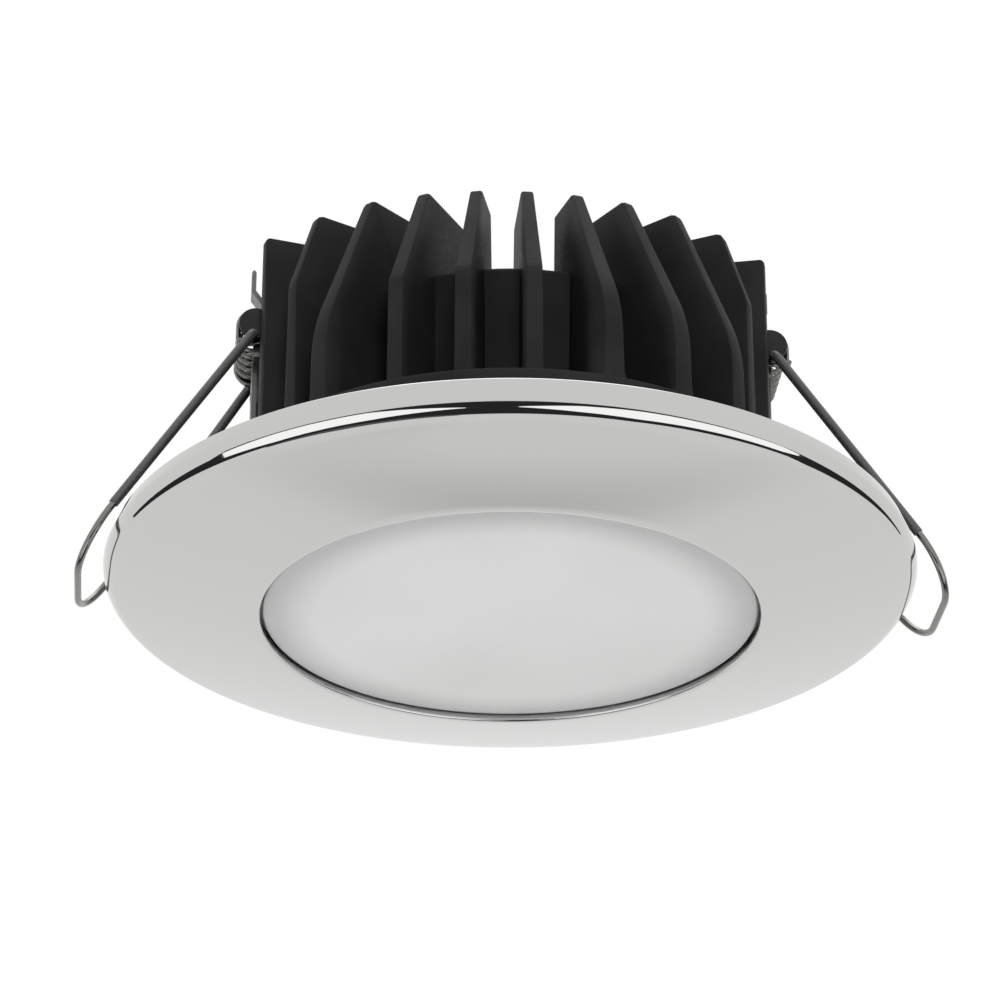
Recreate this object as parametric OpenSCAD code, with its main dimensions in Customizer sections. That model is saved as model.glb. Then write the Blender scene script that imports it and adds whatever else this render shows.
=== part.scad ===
// Recessed soffit downlight: a polished trim ring with a frosted lens, a finned die-cast body
// above it, and two sprung bail clips that fold up and then press on the back of the soffit.
// Millimetres, +Z up into the soffit. The origin is on the lamp's axis, in the plane where the
// back of the trim meets the soffit. The clips stand on the X axis, the front fin on -Y.

/* [Trim ring] */
// Outer diameter of the trim
trim_d = 120; // [114:1:140]
// Height of the rim below the soffit
rim_h = 5.2; // [4.6:0.1:7]
// How much smaller the rim's radius is at the soffit
rim_draft = 1; // [0.4:0.1:1.4]
// Radius of the rounded edge from the rim to the face
rim_fillet = 2.2; // [1:0.1:3]
// How far the dished face drops from the rim to the lens opening
face_drop = 4.5; // [3.6:0.1:6]
// Crown of the face: 0 is a plain cone
face_crown = 0.2; // [0:0.05:0.4]
// Diameter of the lens opening
opening_d = 73.6; // [66:0.2:76]
// Thickness of the trim's metal
trim_t = 1.6; // [1.2:0.1:2]
// Height of the collar above the soffit
collar_h = 5.8; // [5:0.1:5.8]
// Wall of the collar
collar_t = 1.6; // [1.2:0.1:2]

/* [Soffit gasket] */
// Width of the foam gasket
gasket_w = 8; // [5:0.5:9]
// Chamfer of the gasket's outer edge
gasket_chamfer = 0.8; // [0.4:0.1:1.2]
// Gap between the gasket and the rim's inner wall
gasket_gap = 0.4; // [0.2:0.1:1]

/* [Lens and reflector] */
// How far the lens face is recessed in its opening
lens_recess = 0.6; // [0.3:0.1:1]
// Width of the bevel round the lens face
lens_bevel = 1.4; // [0.6:0.1:2]
// Thickness of the lens flange
lens_flange_t = 2; // [1.5:0.1:2.4]
// Thickness of the lens seal when clamped
lens_seal_t = 1; // [0.6:0.1:1.4]
// Width of the seat that carries the lens seal
lens_seat_w = 3.9; // [3.5:0.1:4]
// Clearance round the lens
lens_clear = 0.4; // [0.2:0.05:0.6]
// Wall of the reflector
reflector_t = 1; // [0.8:0.1:1.4]
// Diameter of the reflector's upper mouth
reflector_top_d = 50; // [46:1:54]

/* [Body] */
// Diameter of the base disc
base_d = 86.4; // [86.2:0.1:88]
// Height of the base disc's top above the soffit
base_top = 10.1; // [10:0.1:11]
// Thickness of the base disc
base_t = 4; // [3:0.1:4]
// Wall of the skirt below the base disc
skirt_t = 3.6; // [3.2:0.1:4]
// Clearance between the skirt and the trim's collar
skirt_clear = 0.3; // [0.2:0.05:0.4]
// Diameter of the core
core_d = 57; // [54:0.5:57]
// Height of the core's top above the soffit
core_top = 34.6; // [33:0.2:36]
// Radius of the rounding round the core's top
core_edge_r = 1.2; // [0.6:0.1:1.6]
// Diameter of the wire passage through the core
wireway_d = 7; // [6:0.2:7.4]

/* [Fins] */
// Angle from one fin to the next
fin_pitch = 15; // [14.4:0.1:15.2]
// Radius to the outer edge of a straight fin
fin_r = 39.2; // [38.8:0.1:40]
// Radius to the outer edge of a bowed fin
bowed_fin_r = 42.9; // [41.5:0.1:43]
// Radius to the outer edge of the fins beside a clip
clip_fin_r = 39.25; // [38:0.05:39.4]
// Height of the front fin's tip above the soffit
fin_top = 47.3; // [45:0.1:50]
// How much higher the tips are towards the clips
fin_top_rise = 0.3; // [0:0.1:1]
// Half width of the oval of fin tips, towards the clips
tip_oval_x = 38.6; // [37.5:0.1:41]
// Half width of the oval of fin tips, towards the front
tip_oval_y = 28.7; // [26:0.1:31]
// Radius to the short fins' inner edges above the core
short_fin_in_r = 21.5; // [20:0.1:23]
// Radius to the long fins' inner edges above the core
long_fin_in_r = 17; // [16:0.1:20]
// Height at which the front fins turn inwards
front_kink_z = 28.4; // [24:0.1:32]
// Height at which the side fins turn inwards
side_kink_z = 34.9; // [32:0.1:37]
// Height at which the bowed fins turn inwards
bow_kink_z = 22; // [18:0.5:26]
// Height over which a bowed fin's turn is spread, each way
bow_blend = 5; // [2:0.5:7]
// Thickness of a fin at its foot
fin_foot_t = 2.6; // [2.3:0.05:2.7]
// Thickness of the broader fins at their foot
broad_foot_t = 3.1; // [2.8:0.05:3.3]
// Thickness of a fin half way up
fin_mid_t = 2.4; // [2:0.05:2.5]
// Height at which the fin's taper gets steeper
fin_mid_z = 29; // [26:0.5:32]
// Thickness of a fin at its tip
fin_tip_t = 1.85; // [1.3:0.05:2]

/* [Light engine] */
// Diameter of the circuit board
board_d = 48; // [44:0.5:48.6]
// Thickness of the circuit board
board_t = 1.6; // [1:0.1:2]
// Thickness of the thermal pad
pad_t = 0.5; // [0.3:0.1:0.8]
// Number of LEDs in the ring
led_count = 12; // [8:1:14]
// Side of one LED
led_w = 3; // [2.6:0.1:3.4]
// Height of one LED
led_h = 0.8; // [0.5:0.1:1]
// Radius of the ring of LEDs
led_ring_r = 13; // [12:0.5:14]
// Radius of the board's screw circle
board_screw_r = 20; // [18.5:0.5:20.5]

/* [Screws] */
// Shank diameter of the M3 screws
m3_d = 3; // [2.9:0.05:3]
// Head diameter of the M3 screws
m3_head_d = 5.2; // [5:0.1:5.4]
// Head height of the M3 screws
m3_head_h = 1.5; // [1.2:0.1:1.6]
// Clearance of a screw in its through hole, on the diameter
screw_clear = 0.4; // [0.3:0.05:0.6]
// Clearance between a screw and its modelled thread hole, on the diameter
thread_clear = 0.1; // [0.05:0.05:0.2]
// Height of the trim's radial screws above the soffit
trim_screw_z = 2.7; // [2.6:0.1:3]
// Shank diameter of the bracket screws
m25_d = 2.5; // [2.4:0.05:2.5]
// Head diameter of the bracket screws
m25_head_d = 3.8; // [3.6:0.1:3.8]
// Head height of the bracket screws
m25_head_h = 1.5; // [1.2:0.1:1.8]

/* [Cable gland] */
// Thread diameter of the gland
gland_thread_d = 10; // [9:0.5:12]
// Length of thread in the core
gland_thread_l = 8; // [6:0.5:10]
// Width across flats of the gland's hexagon
gland_af = 13; // [12.5:0.5:16]
// Height of the gland's hexagon
gland_hex_h = 2; // [1.8:0.1:3]
// Height of the domed nut
gland_nut_h = 5; // [4.6:0.1:7]
// Bore of the gland's seal, for the lead
seal_bore_d = 6; // [5:0.1:6.4]

/* [Clip bracket] */
// Thickness of the bracket's sheet
sheet_t = 0.7; // [0.6:0.05:0.75]
// Gap between the bracket's web and the fins beside it
web_gap = 0.15; // [0.1:0.05:0.3]
// Half width of the web
web_half_w = 4.6; // [4.4:0.1:4.8]
// Half width of the spring's cradle
cradle_half_w = 7.4; // [7.2:0.1:7.5]
// Height at which the tongue turns upright
tongue_turn_z = 43.3; // [41:0.1:44.5]
// How far the tongue's tip stands out beyond the web
tongue_out = 0.4; // [0.2:0.1:1]
// Half width of the bracket's foot
foot_half_w = 4.4; // [4.2:0.1:5]
// Height at which the web widens above its foot
web_low_z = 13; // [12:0.5:18]
// Gap between the bracket's foot and the core
foot_gap = 1; // [0.5:0.1:2]
// Spacing of the two bracket screws
bracket_screw_s = 5; // [4.8:0.1:5.4]
// Height of the tongue's tip above the soffit
tongue_top = 47; // [45:0.2:48]
// Half width of the tongue
tongue_half_w = 1.6; // [1.2:0.1:2]

/* [Clip spring] */
// Height of the clip hinge above the soffit
hinge_z = 34.4; // [33.6:0.1:35.2]
// Distance from the web's middle out to the clip hinge
hinge_out = 0.05; // [0:0.05:0.3]
// Wire diameter of the torsion spring
spring_wire_d = 0.65; // [0.6:0.01:0.7]
// Mean radius of the spring's coil
coil_r = 2.62; // [2.55:0.01:2.7]
// Turns in the coil
coil_turns = 7.25; // [7.25:1:7.25]
// Straight run over the bail at the end of the spring's leg
leg_over_l = 2.2; // [1.9:0.1:2.4]

/* [Bail] */
// Wire diameter of the bail
bail_d = 1.06; // [1:0.01:1.1]
// Gap from a bush's face to the middle of the bail's arm
arm_gap = 0.845; // [0.83:0.005:1]
// Angle by which each arm splays outwards
arm_splay = 5.1; // [1:0.1:6]
// Length of the bail from its hinge stub to its loop end
bail_l = 45.8; // [36:0.2:50]
// Radius of the loop's corners
loop_r = 8; // [5:0.1:9]
// Radius of the bend from an arm into its stub
stub_bend_r = 1.2; // [1.1:0.05:1.3]
// How far the stub stands outwards from the hinge axis
stub_u = 0.25; // [0.1:0.05:0.6]
// How far the stub stands below the hinge axis
stub_drop = 1.85; // [1.5:0.05:1.9]
// Clearance of the stub in its hole, on the diameter
stub_clear = 0.04; // [0.02:0.01:0.08]
// How far the left bail's loop rests beyond the trim's rim
left_bail_out = 3.5; // [2.5:0.1:8]
// How far the right bail's loop rests beyond the trim's rim
right_bail_out = 4; // [2.5:0.1:8]
// Outer diameter of the sleeves on the arms
sleeve_d = 1.46; // [1.4:0.02:1.6]
// Distance from the stub to the start of a sleeve
sleeve_start = 1.4; // [1.3:0.1:3]
// Bare length between a sleeve and the loop end
sleeve_bare = 9; // [8.5:0.5:16]

/* [Hinge bushes] */
// Diameter of the bush's head
bush_head_d = 5.1; // [4.9:0.05:5.2]
// Thickness of the bush's head
bush_head_t = 0.7; // [0.6:0.05:0.8]
// Gap from a bush's face to the corner of the fin beside it
bush_side_gap = 0.7; // [0.6:0.05:0.8]
// Depth of the hole in the head that takes the bail's stub
stub_hole_t = 0.6; // [0.4:0.05:0.6]
// Diameter of the drum inside the spring
drum_d = 3.5; // [3.4:0.05:3.5]
// Diameter of the journal in the bracket's ear
journal_d = 2.2; // [2:0.05:2.3]
// Running clearance of the journal in its ear, on the radius
journal_clear = 0.05; // [0.03:0.01:0.08]
// Clearance between moving and fixed faces
run_gap = 0.3; // [0.3:0.01:0.34]

/* [Hidden] */

$fn = 96;
eps = 0.01;

// Trim, from the outside in
trim_r = trim_d / 2;
opening_r = opening_d / 2;
rim_back_r = trim_r - rim_draft;
rim_wall_in_r = trim_r - rim_draft - trim_t;
face_r = trim_r - rim_fillet;
lip_z = -rim_h - face_drop;
seat_z = lip_z + trim_t;
seat_r = opening_r + lens_seat_w;
lens_r = seat_r - lens_clear;
lens_face_r = opening_r - lens_clear;
lens_flange_z = seat_z + lens_seal_t;
lens_top_z = lens_flange_z + lens_flange_t;
rim_kink_z = -0.58 * rim_h;
gasket_out_r = rim_wall_in_r - gasket_gap;
gasket_r = gasket_out_r - gasket_w;

// Body and its collar
base_r = base_d / 2;
base_low = base_top - base_t;
collar_r = seat_r + collar_t;
skirt_r = seat_r - skirt_clear;
skirt_low_z = lens_top_z + reflector_t;
cavity_r = skirt_r - skirt_t;
pad_low_z = base_low - pad_t;
board_low_z = pad_low_z - board_t;
led_low_z = board_low_z - led_h;
core_r = core_d / 2;

// Fins: the front half holds eleven, and the back half is the same turned round
fins_a_side = 5;
BOWED = [-3, 1, 2, 3];
SIDE = [-4, 4];
SLIM = [-5, -2, -1, 0, 5];
bend_steps = 5;
kink_blend = 1;
fin_fillet = 0.5;

// Screws
trim_screw_angles = [90, 210, 330];
board_screw_angles = [30, 150, 270];
trim_screw_l = 5;
board_screw_l = 5;

// Clip, in its own frame: u points out from the lamp along X, v along Y, w up
fin_corner_x = clip_fin_r * cos(fin_pitch) + fin_foot_t / 2 * sin(fin_pitch);
fin_corner_y = clip_fin_r * sin(fin_pitch) - fin_foot_t / 2 * cos(fin_pitch);
web_in_x = fin_corner_x + web_gap;
web_out_x = web_in_x + sheet_t;
hinge_x = web_in_x + sheet_t / 2 + hinge_out;
coil_out_r = coil_r + spring_wire_d / 2;
coil_in_r = coil_r * cos(22.5) - spring_wire_d / 2;
web_top_z = hinge_z - coil_out_r - 1.7;
shelf_low_z = web_top_z - sheet_t;
back_x = hinge_x - coil_out_r - 0.5 - sheet_t;
back_top_z = hinge_z + coil_out_r + 0.25;
foot_in_x = core_r + foot_gap;
foot_l = web_out_x - foot_in_x;
bracket_screw_x = (foot_in_x + web_in_x) / 2;
tongue_x = web_in_x + tongue_out;
ear_boss_r = drum_d / 2 + 0.05;
ear_neck_out_x = web_out_x;
ear_neck_w = 2.4;
bush_face_y = fin_corner_y - bush_side_gap;
head_in_y = bush_face_y - bush_head_t;
arm_half_s = bush_face_y + arm_gap;
coil_half_l = head_in_y - run_gap - spring_wire_d / 2 + 0.02;

// Spring: closed end turns, then an even pitch
closed_near = 0.5;
closed_far = 0.45;
coil_pitch = 2 * coil_half_l / (coil_turns - closed_near - closed_far);
ear_inset = 0.807;
ear_y = coil_half_l - ear_inset * coil_pitch;
drum_in_y = ear_y + sheet_t + 0.25;
journal_in_y = ear_y - 0.5;
rings_a_turn = 8;
tube_sides = 6;
leg_bend_r = 0.8;
arm_axis_gap = sleeve_d / 2 + run_gap + spring_wire_d / 2;

// --- Trim ring -----------------------------------------------------------------------------

// Height of the face at radius r: a shallow dome that flattens towards the opening
function face_z(r) = let (t = (face_r - r) / (face_r - opening_r))
    -rim_h - face_drop * (t + face_crown * t * (1 - t));

function arc_points(cx, cz, r, a0, a1, n) =
    [for (i = [0:n]) let (a = a0 + (a1 - a0) * i / n) [cx + r * cos(a), cz + r * sin(a)]];

module trim_ring() {
    dish = [for (i = [1:8]) let (r = face_r + (opening_r + 0.6 - face_r) * i / 8) [r, face_z(r)]];
    back = [for (i = [0:6]) let (r = collar_r + (rim_wall_in_r - 0.4 - collar_r) * i / 6)
        [r, face_z(r) + trim_t]];
    color([0.78, 0.78, 0.77])
    difference() {
        rotate_extrude()
        polygon(concat(
            [[rim_back_r, 0], [trim_r, rim_kink_z]],
            arc_points(face_r, rim_fillet - rim_h, rim_fillet, 0, -78, 6),
            dish,
            [[opening_r, lip_z + 0.5], [opening_r, seat_z], [seat_r, seat_z],
             [seat_r, collar_h], [collar_r, collar_h]],
            back,
            [[rim_wall_in_r, 0]]));
        for (a = trim_screw_angles)
            rotate([0, 0, a]) translate([skirt_r, 0, trim_screw_z]) rotate([0, 90, 0])
            cylinder(h = collar_t + 2, d = m3_d + screw_clear);
    }
}

module soffit_gasket() {
    low = [for (i = [0:4]) let (r = gasket_r + (gasket_w - gasket_chamfer) * i / 4)
        [r, face_z(r) + trim_t]];
    color([0.12, 0.12, 0.12])
    rotate_extrude() polygon(concat([[gasket_out_r, 0], [gasket_r, 0]], low,
        [[gasket_out_r, face_z(gasket_out_r) + trim_t + gasket_chamfer]]));
}

// --- Lens and reflector --------------------------------------------------------------------

module lens() {
    face = lip_z + lens_recess;
    color([0.93, 0.94, 0.94, 0.8])
    rotate_extrude()
    polygon([[0, face], [lens_face_r - lens_bevel, face], [lens_face_r, face + 0.5],
        [lens_face_r, lens_flange_z], [lens_r, lens_flange_z], [lens_r, lens_top_z],
        [0, lens_top_z]]);
}

module lens_seal() {
    color([0.2, 0.2, 0.2])
    translate([0, 0, seat_z]) difference() {
        cylinder(h = lens_seal_t, r = lens_r);
        translate([0, 0, -1]) cylinder(h = lens_seal_t + 2, r = opening_r + 0.5);
    }
}

module reflector() {
    mouth = cavity_r - 1;
    top_r = reflector_top_d / 2;
    top_z = board_low_z - 0.3;
    color([0.95, 0.95, 0.95])
    rotate_extrude()
    polygon([[mouth - 2, lens_top_z], [lens_r, lens_top_z],
        [lens_r, skirt_low_z], [mouth - 1, skirt_low_z],
        [top_r, top_z], [top_r - reflector_t, top_z]]);
}

// --- Body ----------------------------------------------------------------------------------

function tip_r(a) = 1 / sqrt(pow(sin(a) / tip_oval_x, 2) + pow(cos(a) / tip_oval_y, 2));
function tip_z(a) = fin_top + fin_top_rise * pow(sin(a), 2);

// A bend that leaves upright at [r, z - l], aims for the corner [r, z] and ends l further on
function bend(r, z, r1, z1, l) = let (d = [r1 - r, z1 - z] / norm([r1 - r, z1 - z]))
    [for (i = [0:bend_steps]) let (t = i / bend_steps)
        [r, z - l] * pow(1 - t, 2) + [r, z] * 2 * t * (1 - t) + ([r, z] + d * l) * pow(t, 2)];

function has(list, k) = len(search(k, list)) > 0;

// The outer edge of fin k, counted from the front one, from its foot up to its tip
function fin_edge(k) = let (a = k * fin_pitch, rt = tip_r(a), zt = tip_z(a))
    abs(k) == fins_a_side ? [[clip_fin_r, base_low], [clip_fin_r, zt - fin_fillet],
        [clip_fin_r - fin_fillet, zt]]
    : concat([[has(BOWED, k) ? bowed_fin_r : fin_r, base_low]],
        has(BOWED, k) ? bend(bowed_fin_r, bow_kink_z, rt, zt, bow_blend)
        : bend(fin_r, has(SIDE, k) ? side_kink_z : front_kink_z, rt, zt, kink_blend),
        [[rt + fin_fillet / 3, zt - fin_fillet], [rt - fin_fillet, zt]]);

module fin(k) {
    zt = tip_z(k * fin_pitch);
    foot_t = has(SLIM, k) ? fin_foot_t : broad_foot_t;
    in_r = k % 2 == 0 ? long_fin_in_r : short_fin_in_r;
    intersection() {
        rotate([90, 0, 0]) translate([0, 0, -3]) linear_extrude(6)
        polygon(concat(fin_edge(k),
            [[in_r, zt], [in_r, core_top - 1], [core_r - 4, core_top - 1],
             [core_r - 4, base_low]]));
        rotate([90, 0, 90]) linear_extrude(trim_r)
        polygon([[-foot_t / 2, base_low], [foot_t / 2, base_low],
            [fin_mid_t / 2, fin_mid_z], [fin_tip_t / 2, zt], [-fin_tip_t / 2, zt],
            [-fin_mid_t / 2, fin_mid_z]]);
    }
}

module heat_sink() {
    color([0.16, 0.16, 0.17])
    difference() {
        union() {
            rotate_extrude()
            polygon([[cavity_r, skirt_low_z], [skirt_r, skirt_low_z], [skirt_r, base_low],
                [base_r - 0.4, base_low], [base_r, base_low + 0.4], [base_r, base_top - 0.4],
                [base_r - 0.4, base_top], [0, base_top], [0, base_low], [cavity_r, base_low]]);
            rotate_extrude()
            polygon(concat([[0, base_top - 1], [core_r, base_top - 1]],
                arc_points(core_r - core_edge_r, core_top - core_edge_r, core_edge_r, 0, 90, 4),
                [[0, core_top]]));
            for (turn = [0, 180], k = [-fins_a_side:fins_a_side])
                rotate([0, 0, turn - 90 + k * fin_pitch]) fin(k);
        }
        translate([0, 0, base_low - 1]) cylinder(h = core_top, d = wireway_d);
        translate([0, 0, core_top - gland_thread_l])
            cylinder(h = gland_thread_l + 1, d = gland_thread_d + thread_clear);
        for (a = trim_screw_angles)
            rotate([0, 0, a]) translate([cavity_r - 1, 0, trim_screw_z]) rotate([0, 90, 0])
            cylinder(h = skirt_t + 2, d = m3_d + thread_clear);
        for (a = board_screw_angles)
            rotate([0, 0, a]) translate([board_screw_r, 0, base_low - 1])
            cylinder(h = 3.6, d = m3_d + thread_clear);
        for (side = [-1, 1], v = [-1, 1])
            translate([side * bracket_screw_x, v * bracket_screw_s / 2, base_top - 3])
            cylinder(h = 4, d = m25_d + thread_clear);
    }
}

// --- Light engine --------------------------------------------------------------------------

module board_holes(d) {
    for (a = board_screw_angles)
        rotate([0, 0, a]) translate([board_screw_r, 0, -1]) cylinder(h = 6, d = d);
    translate([0, 0, -1]) cylinder(h = 6, d = wireway_d);
}

module thermal_pad() {
    color([0.75, 0.76, 0.8])
    translate([0, 0, pad_low_z]) difference() {
        cylinder(h = pad_t, d = board_d);
        board_holes(m3_d + screw_clear);
    }
}

module led_board() {
    color([0.93, 0.93, 0.9])
    translate([0, 0, board_low_z]) difference() {
        cylinder(h = board_t, d = board_d);
        board_holes(m3_d + screw_clear);
    }
}

module leds() {
    color([0.95, 0.85, 0.35])
    for (i = [0:led_count - 1])
        rotate([0, 0, 360 / led_count * (i + 0.5)])
        translate([led_ring_r - led_w / 2, -led_w / 2, led_low_z]) cube([led_w, led_w, led_h]);
}

// The two-way terminal beside the wire passage
module wire_terminal() {
    color([0.9, 0.9, 0.88])
    translate([-3, wireway_d / 2 + 0.6, board_low_z - 3]) difference() {
        cube([6, 4, 3]);
        for (x = [1.6, 4.4]) translate([x, -1, 1.5]) rotate([-90, 0, 0]) cylinder(h = 4, d = 1.4);
    }
}

// A pan-head screw that points along +Z from its head's underside
module screw(d, head_d, head_h, l) {
    cylinder(h = l, d = d);
    difference() {
        rotate_extrude()
        polygon([[0, 0], [0, -head_h], [head_d / 2 - 0.6, -head_h], [head_d / 2, -head_h + 0.6],
            [head_d / 2, 0]]);
        translate([0, 0, -head_h - 0.1]) cylinder(h = head_h * 0.6, d = d * 0.7, $fn = 6);
    }
}

module board_screws() {
    color([0.7, 0.7, 0.68])
    for (a = board_screw_angles)
        rotate([0, 0, a]) translate([board_screw_r, 0, board_low_z])
        screw(m3_d, m3_head_d, m3_head_h, board_t + pad_t + 2.2);
}

module trim_screws() {
    color([0.7, 0.7, 0.68])
    for (a = trim_screw_angles)
        rotate([0, 0, a]) translate([collar_r, 0, trim_screw_z]) rotate([0, -90, 0])
        screw(m3_d, m3_head_d, m3_head_h, trim_screw_l - 0.4);
}

// --- Cable gland ---------------------------------------------------------------------------

seal_r = gland_thread_d / 2 - 1;
nut_z = core_top + gland_hex_h;

module gland_body() {
    color([0.2, 0.2, 0.2])
    translate([0, 0, core_top]) difference() {
        union() {
            cylinder(h = gland_hex_h, d = gland_af / cos(30), $fn = 6);
            translate([0, 0, -gland_thread_l + 0.2])
                cylinder(h = gland_thread_l, d = gland_thread_d);
            translate([0, 0, gland_hex_h - eps]) cylinder(h = 3, d = gland_thread_d);
        }
        translate([0, 0, -gland_thread_l - 1]) cylinder(h = 30, d = wireway_d);
        translate([0, 0, gland_hex_h - 1]) cylinder(h = 6, r = seal_r + 0.05);
    }
}

module gland_seal() {
    color([0.1, 0.1, 0.1])
    translate([0, 0, nut_z - 1]) difference() {
        cylinder(h = 4.4, r = seal_r);
        translate([0, 0, -1]) cylinder(h = 8, d = seal_bore_d);
    }
}

module gland_nut() {
    dome = 1.5;
    out_r = gland_af / 2;
    color([0.22, 0.22, 0.22])
    translate([0, 0, nut_z]) difference() {
        union() {
            cylinder(h = gland_nut_h - dome, d = gland_af / cos(30), $fn = 6);
            translate([0, 0, gland_nut_h - dome - eps])
                cylinder(h = dome, r1 = out_r, r2 = out_r - 1.6);
        }
        translate([0, 0, -1]) cylinder(h = 4.1, d = gland_thread_d + thread_clear);
        translate([0, 0, 3]) cylinder(h = 0.5, r = seal_r + 0.05);
        translate([0, 0, -1]) cylinder(h = gland_nut_h + 2, d = seal_bore_d + 0.6);
    }
}

// --- Clips ---------------------------------------------------------------------------------

// The clip on side -1 is the one on side +1 mirrored across the lamp's axis
module on_side(side) {
    if (side > 0) children();
    else mirror([1, 0, 0]) children();
}

module plate_x(x, half_w, z0, z1) {
    translate([x, -half_w, z0]) cube([sheet_t, 2 * half_w, z1 - z0]);
}

module bracket(side) {
    color([0.72, 0.72, 0.7])
    on_side(side) difference() {
        union() {
            translate([foot_in_x, -foot_half_w, base_top]) cube([foot_l, 2 * foot_half_w, sheet_t]);
            plate_x(web_in_x, foot_half_w, base_top, web_low_z + 1);
            plate_x(web_in_x, web_half_w, web_low_z, web_top_z);
            translate([back_x, -cradle_half_w, shelf_low_z])
                cube([web_out_x - back_x, 2 * cradle_half_w, sheet_t]);
            plate_x(back_x, cradle_half_w, shelf_low_z, back_top_z);
            rotate([90, 0, 0]) translate([0, 0, -tongue_half_w]) linear_extrude(2 * tongue_half_w)
            polygon([[back_x, back_top_z - 1], [back_x + sheet_t, back_top_z - 1],
                [back_x + sheet_t, back_top_z], [tongue_x + sheet_t, tongue_turn_z],
                [tongue_x + sheet_t, tongue_top - 0.4], [tongue_x + sheet_t - 0.2, tongue_top],
                [tongue_x + 0.2, tongue_top], [tongue_x, tongue_top - 0.4],
                [tongue_x, tongue_turn_z + 0.2], [back_x, back_top_z + 0.2]]);
            for (v = [-ear_y - sheet_t, ear_y]) {
                translate([hinge_x, v, hinge_z]) rotate([-90, 0, 0])
                    cylinder(h = sheet_t, r = ear_boss_r);
                translate([ear_neck_out_x - ear_neck_w, v, shelf_low_z])
                    cube([ear_neck_w, sheet_t, hinge_z - shelf_low_z]);
            }
        }
        translate([hinge_x, -20, hinge_z]) rotate([-90, 0, 0])
            cylinder(h = 40, d = journal_d + 2 * journal_clear);
        for (v = [-1, 1])
            translate([bracket_screw_x, v * bracket_screw_s / 2, base_top - 1])
            cylinder(h = 3, d = m25_d + screw_clear);
    }
}

module bracket_screws(side) {
    color([0.68, 0.68, 0.66])
    on_side(side)
    for (v = [-1, 1])
        translate([bracket_screw_x, v * bracket_screw_s / 2, base_top + sheet_t])
        rotate([180, 0, 0]) screw(m25_d, m25_head_d, m25_head_h, sheet_t + 2.6);
}

// Everything that turns with a bail is drawn level and then turned down to its angle
function bail_a(side) = acos((trim_r + (side < 0 ? left_bail_out : right_bail_out)
    - hinge_x - stub_u) / bail_l);

module bushes(side) {
    color([0.07, 0.07, 0.07])
    on_side(side) translate([hinge_x, 0, hinge_z])
    for (v = [0, 1]) mirror([0, v, 0]) difference() {
        rotate([-90, 0, 0]) {
            translate([0, 0, head_in_y]) cylinder(h = bush_head_t, d = bush_head_d);
            translate([0, 0, drum_in_y]) cylinder(h = head_in_y - drum_in_y + eps, d = drum_d);
            translate([0, 0, journal_in_y])
                cylinder(h = drum_in_y - journal_in_y + eps, d = journal_d);
        }
        translate([stub_u, bush_face_y - stub_hole_t, -stub_drop]) rotate([-90, 0, 0])
            cylinder(h = stub_hole_t + 1, d = bail_d + stub_clear);
    }
}

// The bail's own plane: p runs from the stub to the loop end, q across
module bail_frame(side) {
    on_side(side) translate([hinge_x + stub_u, 0, hinge_z - stub_drop])
        rotate([0, bail_a(side), 0]) children();
}

stub_tip_q = bush_face_y - stub_hole_t;
bend_q = arm_half_s - stub_bend_r * cos(arm_splay);
arm_l = (bail_l - loop_r - stub_bend_r - (loop_r - stub_bend_r) * sin(arm_splay)) / cos(arm_splay);
arm_p0 = stub_bend_r * (1 - sin(arm_splay));
corner_p = bail_l - loop_r;
corner_q = arm_half_s + arm_l * sin(arm_splay) - loop_r * cos(arm_splay);

function arm_q(p) = arm_half_s + (p - arm_p0) * tan(arm_splay);

module rod(p0, q0, p1, q1, d) {
    l = sqrt(pow(p1 - p0, 2) + pow(q1 - q0, 2));
    translate([p0, q0, 0]) rotate([0, 0, atan2(q1 - q0, p1 - p0)]) rotate([0, 90, 0])
        cylinder(h = l, d = d);
}

// A bent stretch of rod: centre, radius, first angle and sweep, in the bail's plane. It is drawn
// a hair thinner than its neighbours and reaches into them, so that they join as one solid.
bend_slack = 0.02;
bend_lap = 2;
module rod_bend(p, q, r, a0, sweep, d) {
    translate([p, q, 0]) rotate([0, 0, a0 - bend_lap])
        rotate_extrude(angle = sweep + 2 * bend_lap) translate([r, 0]) circle(d = d - bend_slack);
}

// One arm with its stub, bend, corner and half of the loop end, for positive q
module half_bail() {
    rod(0, stub_tip_q, 0, bend_q, bail_d);
    rod_bend(stub_bend_r, bend_q, stub_bend_r, 90 + arm_splay, 90 - arm_splay, bail_d);
    rod(arm_p0, arm_half_s, arm_p0 + arm_l * cos(arm_splay), arm_q(arm_p0 + arm_l * cos(arm_splay)),
        bail_d);
    rod_bend(corner_p, corner_q, loop_r, 0, 90 + arm_splay, bail_d);
}

module bail(side) {
    color([0.55, 0.55, 0.54])
    bail_frame(side) {
        half_bail();
        mirror([0, 1, 0]) half_bail();
        rod(bail_l, -corner_q, bail_l, corner_q, bail_d);
    }
}

module sleeves(side) {
    p1 = bail_l - sleeve_bare;
    color([0.25, 0.25, 0.26])
    bail_frame(side)
    for (v = [0, 1]) mirror([0, v, 0]) difference() {
        rod(sleeve_start, arm_q(sleeve_start), p1, arm_q(p1), sleeve_d);
        rod(sleeve_start - 1, arm_q(sleeve_start - 1), p1 + 1, arm_q(p1 + 1), bail_d + stub_clear);
    }
}

// --- Torsion spring: one unbroken tube -----------------------------------------------------

// Height of the run over the bail, below the coil's middle, that leaves the running gap
function over_w(side) = let (a = bail_a(side))
    (arm_axis_gap - (coil_r - stub_u) * sin(a)) / cos(a) - stub_drop;

// Distance along the coil's axis after t turns from the near end
function coil_v(t) = -coil_half_l + coil_pitch * min(max(t - closed_near, 0),
    coil_turns - closed_near - closed_far);

function coil_point(t) = [coil_r * cos(360 * t), coil_v(t), coil_r * sin(360 * t)];

leg_steps = 3;

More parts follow.
